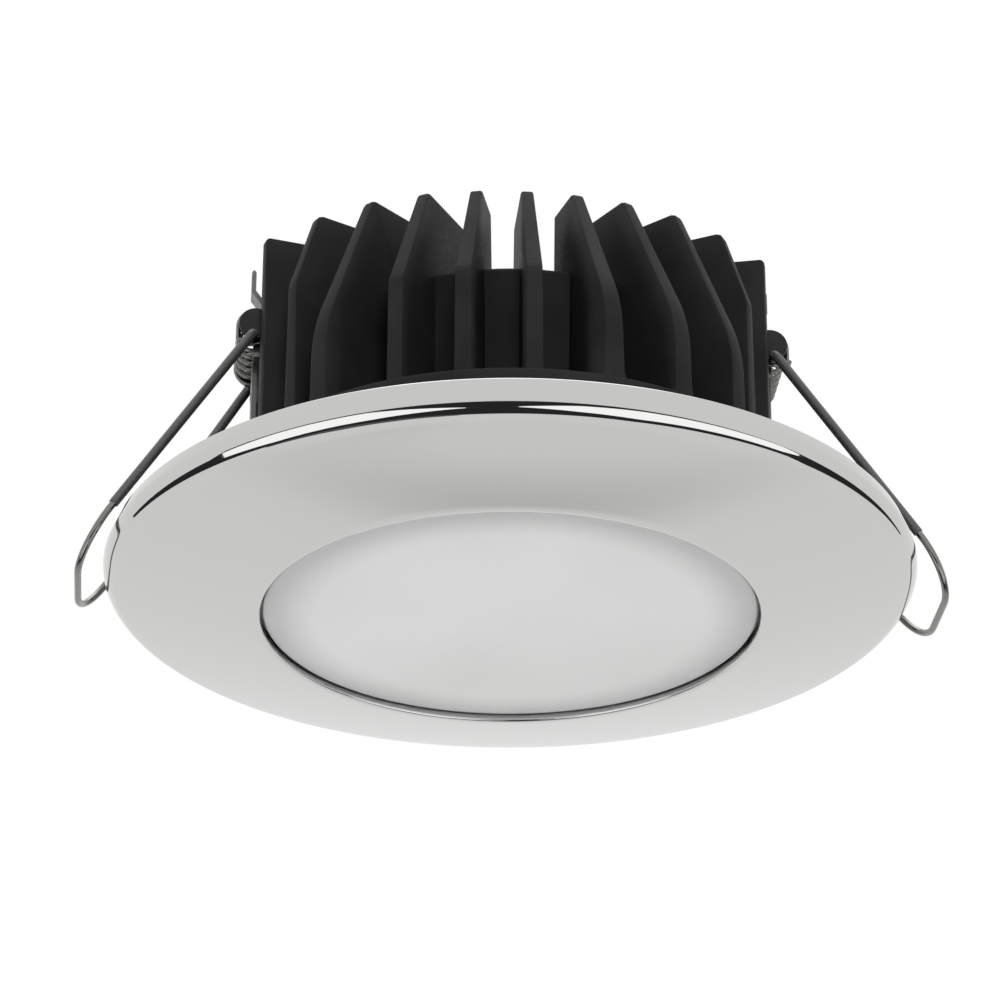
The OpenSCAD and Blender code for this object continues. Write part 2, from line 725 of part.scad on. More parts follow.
// The leg: over the bail, round a bend, and straight up to the coil's near end
function near_leg(side) = let (w = over_w(side), v0 = -coil_half_l - leg_bend_r)
    concat([[coil_r, v0 - leg_over_l, w], [coil_r, v0 - leg_over_l + spring_wire_d, w]],
        [for (i = [0:leg_steps]) let (a = 90 * i / leg_steps)
            [coil_r, v0 + leg_bend_r * sin(a), w + leg_bend_r * (1 - cos(a))]]);

// The far leg runs level from the top of the coil to the bracket's back plate
far_stop_u = back_x + sheet_t - hinge_x;
far_leg = [[far_stop_u + spring_wire_d, coil_half_l, coil_r], [far_stop_u + eps, coil_half_l, coil_r]];

coil_rings = round(coil_turns * rings_a_turn);
function spring_route(side) = concat(near_leg(side),
    [for (i = [0:coil_rings]) coil_point(i / rings_a_turn)], far_leg);

function unit(v) = v / norm(v);
function route_dir(path, i) = i == 0 ? unit(path[1] - path[0])
    : i == len(path) - 1 ? unit(path[i] - path[i - 1])
    : unit(unit(path[i + 1] - path[i]) + unit(path[i] - path[i - 1]));

// Carries the first ring's side direction along the route, so that the tube doesn't twist
function side_dirs(path, i, s, out) = let (d = route_dir(path, i), n = unit(s - d * (s * d)))
    i == len(path) - 1 ? concat(out, [n]) : side_dirs(path, i + 1, n, concat(out, [n]));

module tube(path, r) {
    n = len(path);
    dirs = side_dirs(path, 0, [1, 0, 0], []);
    points = [for (i = [0:n - 1]) let (d = route_dir(path, i), s = dirs[i], t = cross(d, s))
        for (j = [0:tube_sides - 1]) let (a = 360 * j / tube_sides)
            path[i] + r * (cos(a) * s + sin(a) * t)];
    last = tube_sides * (n - 1);
    walls = [for (i = [0:n - 2], j = [0:tube_sides - 1])
        let (a = i * tube_sides + j, b = i * tube_sides + (j + 1) % tube_sides)
        for (f = [[a, a + tube_sides, b], [b, a + tube_sides, b + tube_sides]]) f];
    caps = [for (j = [1:tube_sides - 2]) for (f = [[0, j, j + 1], [last, last + j + 1, last + j]]) f];
    polyhedron(points = points, faces = concat(walls, caps), convexity = 10);
}

// Least distance between points of the route that lie over half a turn apart, less one wire
function self_gap(path, apart) = min([for (i = [0:len(path) - 1 - apart], j = [i + apart:len(path) - 1])
    norm(path[i] - path[j])]) - spring_wire_d;

module spring(side) {
    route = spring_route(side);
    echo(least_gap_of_spring_to_itself = self_gap(route, 6));
    color([0.6, 0.6, 0.58])
    on_side(side) translate([hinge_x, 0, hinge_z]) tube(route, spring_wire_d / 2);
}

module left_bracket() bracket(-1);
module left_bracket_screws() bracket_screws(-1);
module left_bushes() bushes(-1);
module left_spring() spring(-1);
module left_bail() bail(-1);
module left_sleeves() sleeves(-1);
module right_bracket() bracket(1);
module right_bracket_screws() bracket_screws(1);
module right_bushes() bushes(1);
module right_spring() spring(1);
module right_bail() bail(1);
module right_sleeves() sleeves(1);

trim_ring();
soffit_gasket();
lens();
lens_seal();
reflector();
heat_sink();
thermal_pad();
led_board();
leds();
wire_terminal();
board_screws();
trim_screws();
gland_body();
gland_nut();
gland_seal();
left_bracket();
left_bracket_screws();
left_bushes();
left_spring();
left_bail();
left_sleeves();
right_bracket();
right_bracket_screws();
right_bushes();
right_spring();
right_bail();
right_sleeves();
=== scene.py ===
"""A recessed soffit downlight: polished trim and frosted lens below, black finned casting above,
and a sprung wire clip on each side. Sizes are millimetres, and MM turns them into Blender's metres.
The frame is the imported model's: +Z up into the soffit, the origin in the plane where the trim meets
it, the clips on the X axis."""

import math

import bpy
from mathutils import Matrix, Vector


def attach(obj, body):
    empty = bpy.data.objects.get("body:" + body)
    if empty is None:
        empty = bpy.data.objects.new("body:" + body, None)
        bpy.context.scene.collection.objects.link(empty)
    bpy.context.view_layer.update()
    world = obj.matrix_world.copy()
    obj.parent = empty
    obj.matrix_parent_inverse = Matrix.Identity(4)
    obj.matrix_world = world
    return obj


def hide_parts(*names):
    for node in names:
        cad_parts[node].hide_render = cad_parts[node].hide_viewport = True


MM = 0.001


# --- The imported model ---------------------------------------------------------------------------

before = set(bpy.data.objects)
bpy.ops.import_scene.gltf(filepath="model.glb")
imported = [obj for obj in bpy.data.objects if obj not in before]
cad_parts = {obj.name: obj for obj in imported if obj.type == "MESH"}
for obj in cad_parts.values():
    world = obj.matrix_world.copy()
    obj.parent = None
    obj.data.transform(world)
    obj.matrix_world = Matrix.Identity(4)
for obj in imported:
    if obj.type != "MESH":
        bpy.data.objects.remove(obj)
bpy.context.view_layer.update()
bpy.ops.object.select_all(action="DESELECT")


# --- Camera -------------------------------------------------------------------------------------

# The photograph looks up at the lamp from below its front edge, 600 mm away, a little to the left
CAMERA_PLACE = Vector((-49.33, -542.1, -257.6)) * MM
CAMERA_AIM = Vector((-2.02, -5.79, 7.62)) * MM
SENSOR, FOCAL_LENGTH = 36, 146.3
# Nearer than this the camera sees nothing, in metres
NEAREST = 0.05

camera_data = bpy.data.cameras.new("camera")
camera_data.sensor_width = SENSOR
camera_data.lens = FOCAL_LENGTH
camera_data.clip_start = NEAREST
camera = bpy.data.objects.new("camera", camera_data)
bpy.context.scene.collection.objects.link(camera)
camera.location = CAMERA_PLACE
camera.rotation_euler = (CAMERA_AIM - CAMERA_PLACE).to_track_quat("-Z", "Y").to_euler()
bpy.context.scene.camera = camera
bpy.context.scene.view_settings.view_transform = "Standard"


# --- Modelling helpers --------------------------------------------------------------------------

# Points closer than this are one point
SAME = 0.002 * MM


def pick(piece):
    bpy.ops.object.select_all(action="DESELECT")
    piece.select_set(True)
    bpy.context.view_layer.objects.active = piece


def edit(piece):
    pick(piece)
    bpy.ops.object.mode_set(mode="EDIT")


def object_mode():
    bpy.ops.object.mode_set(mode="OBJECT")


def close_up():
    """Merges doubled points of the piece being edited, and points its faces outwards."""
    bpy.ops.mesh.select_all(action="SELECT")
    bpy.ops.mesh.remove_doubles(threshold=SAME)
    bpy.ops.mesh.normals_make_consistent(inside=False)
    object_mode()


def drawn(name, points):
    """A line drawn point by point, left in edit mode with its last point picked."""
    bpy.ops.object.select_all(action="DESELECT")
    bpy.ops.mesh.primitive_plane_add(size=MM)
    piece = bpy.context.object
    piece.name = name
    bpy.ops.object.mode_set(mode="EDIT")
    bpy.ops.mesh.select_all(action="SELECT")
    bpy.ops.mesh.merge(type="CENTER")
    bpy.ops.transform.translate(value=Vector(points[0]) * MM)
    for here, there in zip(points, points[1:]):
        step = (Vector(there) - Vector(here)) * MM
        bpy.ops.mesh.extrude_region_move(TRANSFORM_OT_translate={"value": step})
    return piece


def turned(name, profile, steps):
    """A piece turned on the lamp's axis from a profile of (radius, height) pairs."""
    piece = drawn(name, [(r, 0, z) for r, z in profile])
    bpy.ops.mesh.select_all(action="SELECT")
    bpy.ops.mesh.spin(steps=steps, angle=math.tau, center=(0, 0, 0), axis=(0, 0, 1))
    close_up()
    return piece


def arc(cx, cz, r, first, last, steps):
    """Points on an arc in the plane of a profile, angles in degrees."""
    angles = [math.radians(first + (last - first) * i / steps) for i in range(steps + 1)]
    return [(cx + r * math.cos(a), cz + r * math.sin(a)) for a in angles]


def wire(name, points, radius, sides):
    """A round wire along points, as a mesh with closed ends."""
    bpy.ops.object.select_all(action="DESELECT")
    bpy.ops.curve.primitive_bezier_curve_add()
    piece = bpy.context.object
    piece.name = name
    piece.data.splines.clear()
    spline = piece.data.splines.new("POLY")
    spline.points.add(len(points) - 1)
    for dot, p in zip(spline.points, points):
        dot.co = (*(Vector(p) * MM), 1)
    piece.data.dimensions = "3D"
    piece.data.bevel_depth = radius * MM
    piece.data.bevel_resolution = sides // 4 - 1
    piece.data.use_fill_caps = True
    bpy.ops.object.convert(target="MESH")
    piece = bpy.context.object
    edit(piece)
    close_up()
    return piece


def smooth(piece, degrees):
    """Smooth shading, with a crease at every edge sharper than the angle."""
    pick(piece)
    bpy.ops.object.shade_smooth_by_angle(angle=math.radians(degrees))


def rounded(piece, width, segments, degrees):
    """Rounds every edge sharper than the angle."""
    edit(piece)
    bpy.ops.mesh.select_all(action="DESELECT")
    bpy.ops.mesh.select_mode(type="EDGE")
    bpy.ops.mesh.edges_select_sharp(sharpness=math.radians(degrees))
    bpy.ops.mesh.bevel(offset=width * MM, segments=segments, profile=0.5, clamp_overlap=True)
    bpy.ops.mesh.select_mode(type="VERT")
    object_mode()


def joined(name, pieces):
    bpy.ops.object.select_all(action="DESELECT")
    for piece in pieces:
        piece.select_set(True)
    bpy.context.view_layer.objects.active = pieces[0]
    bpy.ops.object.join()
    bpy.context.object.name = name
    return bpy.context.object


def put(piece, matrix):
    """Puts a piece in place by its mesh, and keeps its faces outwards if the matrix mirrors it."""
    piece.data.transform(matrix)
    if matrix.determinant() < 0:
        piece.data.flip_normals()
    return piece


def copied(piece, matrix):
    """A copy with its own mesh, put in place by a matrix."""
    twin = piece.copy()
    twin.data = piece.data.copy()
    bpy.context.scene.collection.objects.link(twin)
    return put(twin, matrix)


def dress(piece, material):
    piece.data.materials.clear()
    piece.data.materials.append(material)


# --- Material helpers ---------------------------------------------------------------------------

# Noise mostly stays between these values, and a roughness is spread over them
NOISE_LOW, NOISE_HIGH = 0.3, 0.7


def paint(hex_colour):
    """A colour written as sRGB hex, turned to the linear values that shaders take."""
    parts = [int(hex_colour[i : i + 2], 16) / 255 for i in (1, 3, 5)]
    return [c / 12.92 if c <= 0.04045 else ((c + 0.055) / 1.055) ** 2.4 for c in parts] + [1.0]


def add(tree, kind, inputs=None, **settings):
    """A node with its settings, and each input set to a value or linked to a socket."""
    made = tree.nodes.new(kind)
    for name, value in settings.items():
        setattr(made, name, value)
    for name, value in (inputs or {}).items():
        if isinstance(value, bpy.types.NodeSocket):
            tree.links.new(value, made.inputs[name])
        else:
            made.inputs[name].default_value = value
    return made


def blank(name):
    """A new material with an empty tree, and its output node."""
    made = bpy.data.materials.new(name)
    made.use_nodes = True
    made.node_tree.nodes.clear()
    return made, made.node_tree, add(made.node_tree, "ShaderNodeOutputMaterial")


def object_place(tree):
    return add(tree, "ShaderNodeTexCoord").outputs["Object"]


def axis_distance(tree, place):
    """Distance from the lamp's axis."""
    flat = add(tree, "ShaderNodeVectorMath", {0: place, 1: (1, 1, 0)}, operation="MULTIPLY")
    return add(tree, "ShaderNodeVectorMath", {0: flat.outputs[0]}, operation="LENGTH").outputs["Value"]


def noise(tree, place, scale, detail, roughness=0.5):
    inputs = {"Vector": place, "Scale": scale, "Detail": detail, "Roughness": roughness}
    return add(tree, "ShaderNodeTexNoise", inputs).outputs["Fac"]


def spread(tree, value, low, high):
    """Noise spread between a low and a high value."""
    inputs = {"Value": value, "From Min": NOISE_LOW, "From Max": NOISE_HIGH, "To Min": low, "To Max": high}
    return add(tree, "ShaderNodeMapRange", inputs).outputs[0]


def two_tones(tree, value, dark, light):
    """A ramp from one colour to another, each given as (position, hex colour)."""
    tone = add(tree, "ShaderNodeValToRGB", {"Fac": value})
    for element, (position, colour) in zip(tone.color_ramp.elements, (dark, light)):
        element.position = position
        element.color = paint(colour)
    return tone.outputs["Color"]


def bumped(tree, height, strength, depth):
    inputs = {"Strength": strength, "Distance": depth * MM, "Height": height}
    return add(tree, "ShaderNodeBump", inputs).outputs[0]


def surface(tree, out, inputs):
    """The shader in which every finish of the lamp ends."""
    shader = add(tree, "ShaderNodeBsdfPrincipled", inputs)
    tree.links.new(shader.outputs[0], out.inputs["Surface"])


# --- Finishes -----------------------------------------------------------------------------------

# The trim's face is brushed as far out as the first radius, and its rim is buffed from the second
BRUSHED_TO, BUFFED_FROM = 56.4, 57.4
# Painted shade on the lens: its colour is mixed towards grey between these radii
EDGE_SHADE_FROM, EDGE_SHADE_FULL = 28, 36


def polished_stainless():
    """Stainless steel, pressed and polished on a lathe: a soft mirror with rings too faint to count."""
    made, tree, out = blank("polished_stainless")
    place = object_place(tree)
    radius = axis_distance(tree, place)
    # Polishing rings 0.3 mm apart
    rings = add(
        tree,
        "ShaderNodeTexNoise",
        {"W": radius, "Scale": 3300.0, "Detail": 2.0},
        noise_dimensions="1D",
    )
    # Handling marks of about 25 mm
    brushed = spread(tree, noise(tree, place, 40.0, 3.0), 0.12, 0.15)
    inputs = {"Value": radius, "From Min": BRUSHED_TO * MM, "From Max": BUFFED_FROM * MM}
    buffed = add(tree, "ShaderNodeMapRange", {**inputs, "To Min": 1.0, "To Max": 0.3})
    rough = add(tree, "ShaderNodeMath", {0: brushed, 1: buffed.outputs[0]}, operation="MULTIPLY")
    surface(
        tree,
        out,
        {
            "Base Color": paint("#c5c5c4"),
            "Metallic": 1.0,
            "Roughness": rough.outputs[0],
            "Normal": bumped(tree, rings.outputs["Fac"], 0.03, 0.02),
        },
    )
    return made


def black_casting():
    """Aluminium die casting with a thin black satin coat: the cast grain shows through it."""
    made, tree, out = blank("black_die_casting")
    place = object_place(tree)
    # Cast grain of about 0.4 mm
    grain = noise(tree, place, 2400.0, 3.0, 0.6)
    cloud = noise(tree, place, 90.0, 2.0)
    surface(
        tree,
        out,
        {
            "Base Color": two_tones(tree, cloud, (0.35, "#151516"), (0.7, "#1b1b1c")),
            "Roughness": spread(tree, grain, 0.42, 0.56),
            "IOR": 1.12,
            "Normal": bumped(tree, grain, 0.25, 0.03),
        },
    )
    return made


def frosted_acrylic():
    """Opal acrylic with an etched face: light goes in and comes out softened, and shade is painted into its
    colour towards the edge.
    """
    made, tree, out = blank("frosted_acrylic")
    place = object_place(tree)
    # Etching of about 0.25 mm
    etch = noise(tree, place, 4000.0, 2.0)
    cloud = noise(tree, place, 28.0, 1.0)
    tone = two_tones(tree, cloud, (0.3, "#bdbdbc"), (0.7, "#c5c5c5"))
    # Painted shade: less light comes back from behind towards the edge, so there the colour is mixed up to
    # halfway to grey
    radius = axis_distance(tree, place)
    painted_edge_shade = add(
        tree,
        "ShaderNodeMapRange",
        {"Value": radius, "From Min": EDGE_SHADE_FROM * MM, "From Max": EDGE_SHADE_FULL * MM, "To Max": 0.5},
        interpolation_type="SMOOTHSTEP",
    )
    # Sockets 0, 6 and 7 are the factor and the two colours, and output 2 is the mixed colour
    colour = add(
        tree,
        "ShaderNodeMix",
        {0: painted_edge_shade.outputs[0], 6: tone, 7: paint("#7c7c7c")},
        data_type="RGBA",
    )
    surface(
        tree,
        out,
        {
            "Base Color": colour.outputs[2],
            "Roughness": 0.42,
            "IOR": 1.49,
            "Subsurface Weight": 0.35,
            "Subsurface Radius": [2 * MM] * 3,
            "Normal": bumped(tree, etch, 0.1, 0.02),
        },
    )
    return made


def drawn_metal(name, colour, roughness, scale):
    """Steel sheet, wire or screws with a plain worked surface: smooth metal with faint blotches."""
    made, tree, out = blank(name)
    cloud = noise(tree, object_place(tree), scale, 3.0, 0.6)
    surface(
        tree,
        out,
        {
            "Base Color": paint(colour),
            "Metallic": 1.0,
            "Roughness": spread(tree, cloud, roughness * 0.8, roughness * 1.25),
            "Normal": bumped(tree, cloud, 0.1, 0.02),
        },
    )
    return made


def moulded(name, colour, roughness, grain_mm, ior=1.5):
    """A moulded plastic or rubber: one colour all through, with a fine tooled grain."""
    made, tree, out = blank(name)
    grain = noise(tree, object_place(tree), 1 / (grain_mm * MM), 2.0)
    surface(
        tree,
        out,
        {
            "Base Color": paint(colour),
            "Roughness": spread(tree, grain, roughness * 0.88, min(1.0, roughness * 1.12)),
            "IOR": ior,
            "Normal": bumped(tree, grain, 0.15, 0.03),
        },
    )
    return made


stainless = polished_stainless()
casting = black_casting()
diffuser = frosted_acrylic()
sheet_steel = drawn_metal("zinc_plated_sheet", "#6f6f6e", 0.34, 500.0)
spring_wire = drawn_metal("spring_wire", "#757472", 0.22, 900.0)
bright_wire = drawn_metal("bright_wire", "#7f7e7c", 0.2, 900.0)
screw_steel = drawn_metal("plated_screws", "#b9b9b6", 0.28, 900.0)
black_nylon = moulded("black_nylon", "#0a0a0b", 0.32, 0.3, 1.35)
grey_tubing = moulded("soft_grey_tubing", "#343435", 0.36, 0.25)
seal_rubber = moulded("seal_rubber", "#1b1b1b", 0.7, 0.3)
foam = moulded("closed_cell_foam", "#242424", 0.9, 0.6)
white_plastic = moulded("white_reflector_plastic", "#efefec", 0.35, 0.3)
solder_mask = moulded("white_solder_mask", "#ecebe4", 0.4, 0.5)
phosphor = moulded("led_phosphor", "#e8c84a", 0.5, 0.3)
silicone_pad = moulded("silicone_pad", "#8b8f99", 0.8, 0.4)
terminal_plastic = moulded("terminal_plastic", "#e4e4df", 0.45, 0.3)


# --- Trim and lens ------------------------------------------------------------------------------

RIM_BACK, RIM, RIM_LOW = 59.0, 60.0, -5.2
FACE, OPENING, LIP = 57.8, 36.8, -9.7
SHEET, SEAT, COLLAR, COLLAR_TOP = 1.6, 40.7, 42.3, 5.8
# Radii of the roundings: between the rim's wall and its face, at the rim's top, and at the lip
ROUND, BACK_ROUND, LIP_ROUND = 2.6, 0.36, 0.45
# How many degrees the rim turns before it runs into the dish, and the dish's bulge from a cone
RIM_TURN, DISH_BULGE = 76, 0.2
# Points across the dish and across its back, and how far apart those on the back are
DISH_STEPS, BACK_STEPS, BACK_STEP = 14, 10, 1.5
# Height of the ledge that holds the lens and its seal, and the trim's small chamfers
LEDGE, CHAMFER = -8.1, 0.2
# The lens has a ring of points on its flat middle, and from the second radius it eases back to its
# bevel, by the height and width that follow
LENS_RING, LENS_EASED, EASE, BEVEL = 12, 24, 0.12, 2.0
FLANGE, FLANGE_LOW, FLANGE_TOP = SEAT - 0.4, -7.1, -5.1


def face_height(r):
    """Height of the trim's dished face at a radius."""
    t = (FACE - r) / (FACE - OPENING)
    return RIM_LOW + (LIP - RIM_LOW) * (t + DISH_BULGE * t * (1 - t))


def make_trim():
    """The trim: rim, dished face and lip in front, and seat, collar and hollow back behind."""
    outer, inner = FACE - 1.0, OPENING + 0.9
    dish = [outer + (inner - outer) * i / DISH_STEPS for i in range(DISH_STEPS + 1)]
    back = [COLLAR + 0.4 + i * BACK_STEP for i in range(BACK_STEPS)]
    profile = (
        [(RIM_BACK - 0.6, 0)]
        + arc(RIM_BACK - 0.31, -BACK_ROUND, BACK_ROUND, 90, 8, 6)
        + arc(RIM - ROUND, RIM_LOW + ROUND, ROUND, 0, -RIM_TURN, 24)
        + [(r, face_height(r)) for r in dish]
        + arc(OPENING + LIP_ROUND, LIP + 0.56, LIP_ROUND, -100, -180, 8)
        + [(OPENING, LEDGE - CHAMFER), (OPENING + CHAMFER, LEDGE), (SEAT, LEDGE)]
        + [(SEAT, COLLAR_TOP - CHAMFER), (SEAT + CHAMFER, COLLAR_TOP)]
        + [(COLLAR - CHAMFER, COLLAR_TOP), (COLLAR, COLLAR_TOP - CHAMFER)]
        + [(COLLAR, face_height(COLLAR) + SHEET + 0.4)]
        + [(r, face_height(r) + SHEET) for r in back]
        + [(RIM_BACK - SHEET, -3.2), (RIM_BACK - SHEET, -CHAMFER), (RIM_BACK - SHEET + CHAMFER, 0)]
        + [(RIM_BACK - 0.6, 0)]
    )
    trim = turned("trim", profile, 256)
    smooth(trim, 32)
    dress(trim, stainless)
    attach(trim, "body")
    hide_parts("trim_ring")


def make_lens():
    """The lens: a flat middle that eases back to a bevel, and behind it the flange that is held."""
    low, edge = LIP + 0.6, OPENING - 0.4
    eased = [i / 8 for i in range(9)]
    profile = (
        [(0, low), (LENS_RING, low)]
        + [(LENS_EASED + (edge - BEVEL - LENS_EASED) * t, low + EASE * t**2) for t in eased]
        + [(edge - 0.2, low + 0.5), (edge, low + 0.66), (edge, FLANGE_LOW)]
        + [(FLANGE - 0.1, FLANGE_LOW), (FLANGE, FLANGE_LOW + 0.1)]
        + [(FLANGE, FLANGE_TOP - 0.1), (FLANGE - 0.1, FLANGE_TOP), (0, FLANGE_TOP)]
    )
    lens = turned("diffuser", profile, 192)
    smooth(lens, 25)
    dress(lens, diffuser)
    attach(lens, "body")
    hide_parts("lens")


# --- Casting ------------------------------------------------------------------------------------

BASE, BASE_TOP, BASE_LOW = 43.2, 10.1, 6.1
CORE, CORE_TOP, CORE_ROUND, GLAND_HOLE = 28.5, 34.6, 1.2, 5.05
SKIRT, CAVITY, SKIRT_LOW = 40.4, 36.8, -4.1
# The front fins are numbered from -5 beside the left clip to 5 beside the right, PITCH degrees apart
LAST_FIN, PITCH, FIN_TOP, FIN_RISE = 5, 15, 47.3, 0.3
# The fins' tips lie on an ellipse, and those beside the clips stand straight at a radius of their own
TIP_ACROSS, TIP_FRONT, CLIP_FIN = 38.6, 28.7, 39.25
# How near the axis even and odd fins reach over the core
LONG_IN, SHORT_IN = 17.0, 21.5
# Radius of a fin's upright edge, and the height and reach of its bend towards the tip
BOWED_EDGE, SIDE_EDGE, PLAIN_EDGE = (42.9, 22, 5), (39.2, 34.9, 1), (39.2, 28.4, 1)
BOWED = (-3, 1, 2, 3)
SIDE = (-4, 4)
BROAD = (-4, -3, 1, 2, 3, 4)
# Thickness at the foot of a plain and of a broad fin, at MIDDLE_Z, and at the tip
FOOT, BROAD_FOOT, MIDDLE, TIP = 2.6, 3.1, 2.4, 1.85
MIDDLE_Z = 29.0
# What the fillet adds to a fin's thickness inside the base, and a little above it
FILLET_FOOT, FILLET_SIDE = 1.2, 0.35


def tip_radius(a):
    """Radius of a fin's tip, at an angle in radians from the front."""
    return 1 / math.hypot(math.sin(a) / TIP_ACROSS, math.cos(a) / TIP_FRONT)


def outer_edge(k):
    if k in BOWED:
        return BOWED_EDGE
    return SIDE_EDGE if k in SIDE else PLAIN_EDGE


def bend(r, z, reach, tip, top):
    """The turn from an upright edge towards the tip, spread over a reach each way."""
    along = Vector((tip - r, top - z)).normalized()
    start, corner, end = Vector((r, z - reach)), Vector((r, z)), Vector((r, z)) + along * reach
    turn = [i / 8 for i in range(9)]
    return [tuple(start * (1 - t) ** 2 + corner * 2 * t * (1 - t) + end * t**2) for t in turn]


def fin_outline(k):
    """Points of a fin's outline as (radius, height), from its foot up, round its tip and inwards."""
    a = math.radians(k * PITCH)
    tip, top = tip_radius(a), FIN_TOP + FIN_RISE * math.sin(a) ** 2
    if abs(k) == LAST_FIN:
        outer = [(CLIP_FIN, BASE_LOW), (CLIP_FIN, top - 0.6), (CLIP_FIN - 0.18, top - 0.18)]
        outer += [(CLIP_FIN - 0.6, top)]
    else:
        upright, height, reach = outer_edge(k)
        outer = [(upright, BASE_LOW)] + bend(upright, height, reach, tip, top)
        outer += [(tip + 0.25, top - 0.8), (tip - 0.1, top - 0.24), (tip - 0.7, top)]
    inner = LONG_IN if k % 2 == 0 else SHORT_IN
    below = CORE_TOP - 1
    return outer + [(inner, top), (inner, below), (CORE - 4, below), (CORE - 4, BASE_LOW)]


def fin_thickness(z, foot):
    """Thickness at a height: two tapers, and the fillet where the fin grows out of the base."""
    if z < MIDDLE_Z:
        thick = foot + (MIDDLE - foot) * (z - BASE_TOP) / (MIDDLE_Z - BASE_TOP)
    else:
        thick = MIDDLE + (TIP - MIDDLE) * (z - MIDDLE_Z) / (FIN_TOP - MIDDLE_Z)
    if z < BASE_TOP + 0.2:
        return thick + FILLET_FOOT
    return thick + FILLET_SIDE if z < BASE_TOP + 0.9 else thick


def make_fin(k):
    """One fin: its outline drawn, filled and pulled to 1 mm, then widened to its thickness."""
    fin = drawn("fin", [(r, -0.5, z) for r, z in fin_outline(k)])
    bpy.ops.mesh.select_all(action="SELECT")
    bpy.ops.mesh.edge_face_add()
    bpy.ops.mesh.extrude_region_move(TRANSFORM_OT_translate={"value": (0, MM, 0)})
    for height in (MIDDLE_Z, BASE_TOP + 1.0, BASE_TOP + 0.35):
        bpy.ops.mesh.select_all(action="SELECT")
        bpy.ops.mesh.bisect(plane_co=(0, 0, height * MM), plane_no=(0, 0, 1))
    object_mode()
    foot = BROAD_FOOT if k in BROAD else FOOT
    for v in fin.data.vertices:
        v.co.y *= fin_thickness(v.co.z / MM, foot)
    rounded(fin, 0.32, 2, 40)
    return put(fin, Matrix.Rotation(math.radians(k * PITCH - 90), 4, "Z"))


def make_casting():
    """The body: a base disc with its skirt, a core, and fins that repeat behind the ones in front."""
    fins = [make_fin(k) for k in range(-LAST_FIN, LAST_FIN + 1)]
    half_turn = Matrix.Rotation(math.pi, 4, "Z")
    fins += [copied(fin, half_turn) for fin in fins]
    base = turned(
        "base",
        [(0, BASE_TOP), (BASE - 0.5, BASE_TOP), (BASE - 0.15, BASE_TOP - 0.15), (BASE, BASE_TOP - 0.5)]
        + [(BASE, BASE_LOW + 0.5), (BASE - 0.15, BASE_LOW + 0.15), (BASE - 0.5, BASE_LOW)]
        + [(SKIRT, BASE_LOW), (SKIRT, SKIRT_LOW + 0.2), (SKIRT - 0.2, SKIRT_LOW)]
        + [(CAVITY, SKIRT_LOW), (CAVITY, BASE_LOW), (0, BASE_LOW)],
        160,
    )
    core = turned(
        "core",
        [(GLAND_HOLE, CORE_TOP), (CORE - CORE_ROUND, CORE_TOP)]
        + arc(CORE - CORE_ROUND, CORE_TOP - CORE_ROUND, CORE_ROUND, 80, 0, 5)
        + [(CORE, BASE_TOP + 0.8), (CORE + 0.25, BASE_TOP + 0.25), (CORE + 0.8, BASE_TOP - 0.1)]
        + [(CORE + 0.8, BASE_TOP - 0.5), (GLAND_HOLE, BASE_TOP - 0.5), (GLAND_HOLE, CORE_TOP)],
        160,
    )
    casting_piece = joined("casting", [base, core] + fins)
    smooth(casting_piece, 32)
    dress(casting_piece, casting)
    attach(casting_piece, "body")
    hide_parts("heat_sink")


# --- Clips --------------------------------------------------------------------------------------

HINGE_X, HINGE_Z, STUB_U, STUB_DROP = 38.799, 34.4, 0.25, 1.85
# Along the hinge: where the bail's stub ends, and where its arm starts
STUB_END, ARM_S = 7.62, 9.05
BAIL_R, SLEEVE_R = 0.53, 0.73
SPLAY, BAIL_L, LOOP_R, STUB_BEND = math.radians(5.1), 45.8, 8.0, 1.2
# Points along the straight part of an arm: of the bare wire, and of its sleeve
ARM_POINTS = (6, 12, 18, 24, 30, 35)
SLEEVE_POINTS = (3, 10, 18, 26, BAIL_L - 9)
# How far each loop rests beyond the trim's rim
BAIL_OUT = {"left": 3.5, "right": 4.0}
COIL_R, COIL_HALF, TURNS, SPRING_R = 2.62, 6.9, 7.25, 0.325
CLOSED_NEAR, CLOSED_FAR = 0.5, 0.45
COIL_PITCH = 2 * COIL_HALF / (TURNS - CLOSED_NEAR - CLOSED_FAR)
# Points on each turn of the coil
TURN_STEPS = 24
# The leg's bend, how far it reaches past it over the bail, and its distance from the sleeve
LEG_BEND, LEG_OVER, LEG_GAP = 0.8, 1.5, 0.08
# The leg is a hair thinner than the coil's wire, so that it hides in the coil's closed end
LEG_THINNER = 0.012
# The coil's last point reaches in to the bracket's back plate
TAIL_U = -2.805
# The bush: radii and ends of its journal and of the drum inside the coil, and its head
JOURNAL, JOURNAL_END, DRUM, DRUM_END = 1.1, 4.63, 1.75, 6.08
HEAD_R, HEAD_BACK, HEAD_FRONT = 2.55, 7.505, 8.2


def on_side(side):
    """The matrix from a clip's own axes, u outwards, v along Y and w up, to the lamp's."""
    here = Matrix.Translation(Vector((HINGE_X, 0, HINGE_Z)) * MM)
    return Matrix.Scale(-1, 4, (1, 0, 0)) @ here if side == "left" else here


def bail_angle(side):
    """How far the bail hangs below level, in radians."""
    return math.acos((RIM + BAIL_OUT[side] - HINGE_X - STUB_U) / BAIL_L)


def bail_place(side):
    """The matrix from the bail's flat plan, with p along the arms and q across, to the lamp's axes."""
    stub = Matrix.Translation(Vector((STUB_U, 0, -STUB_DROP)) * MM)
    return on_side(side) @ stub @ Matrix.Rotation(bail_angle(side), 4, "Y")


ARM_P = STUB_BEND * (1 - math.sin(SPLAY))
ARM_LEN = (BAIL_L - LOOP_R - STUB_BEND - (LOOP_R - STUB_BEND) * math.sin(SPLAY)) / math.cos(SPLAY)
CORNER_P = BAIL_L - LOOP_R
CORNER_Q = ARM_S + ARM_LEN * math.sin(SPLAY) - LOOP_R * math.cos(SPLAY)


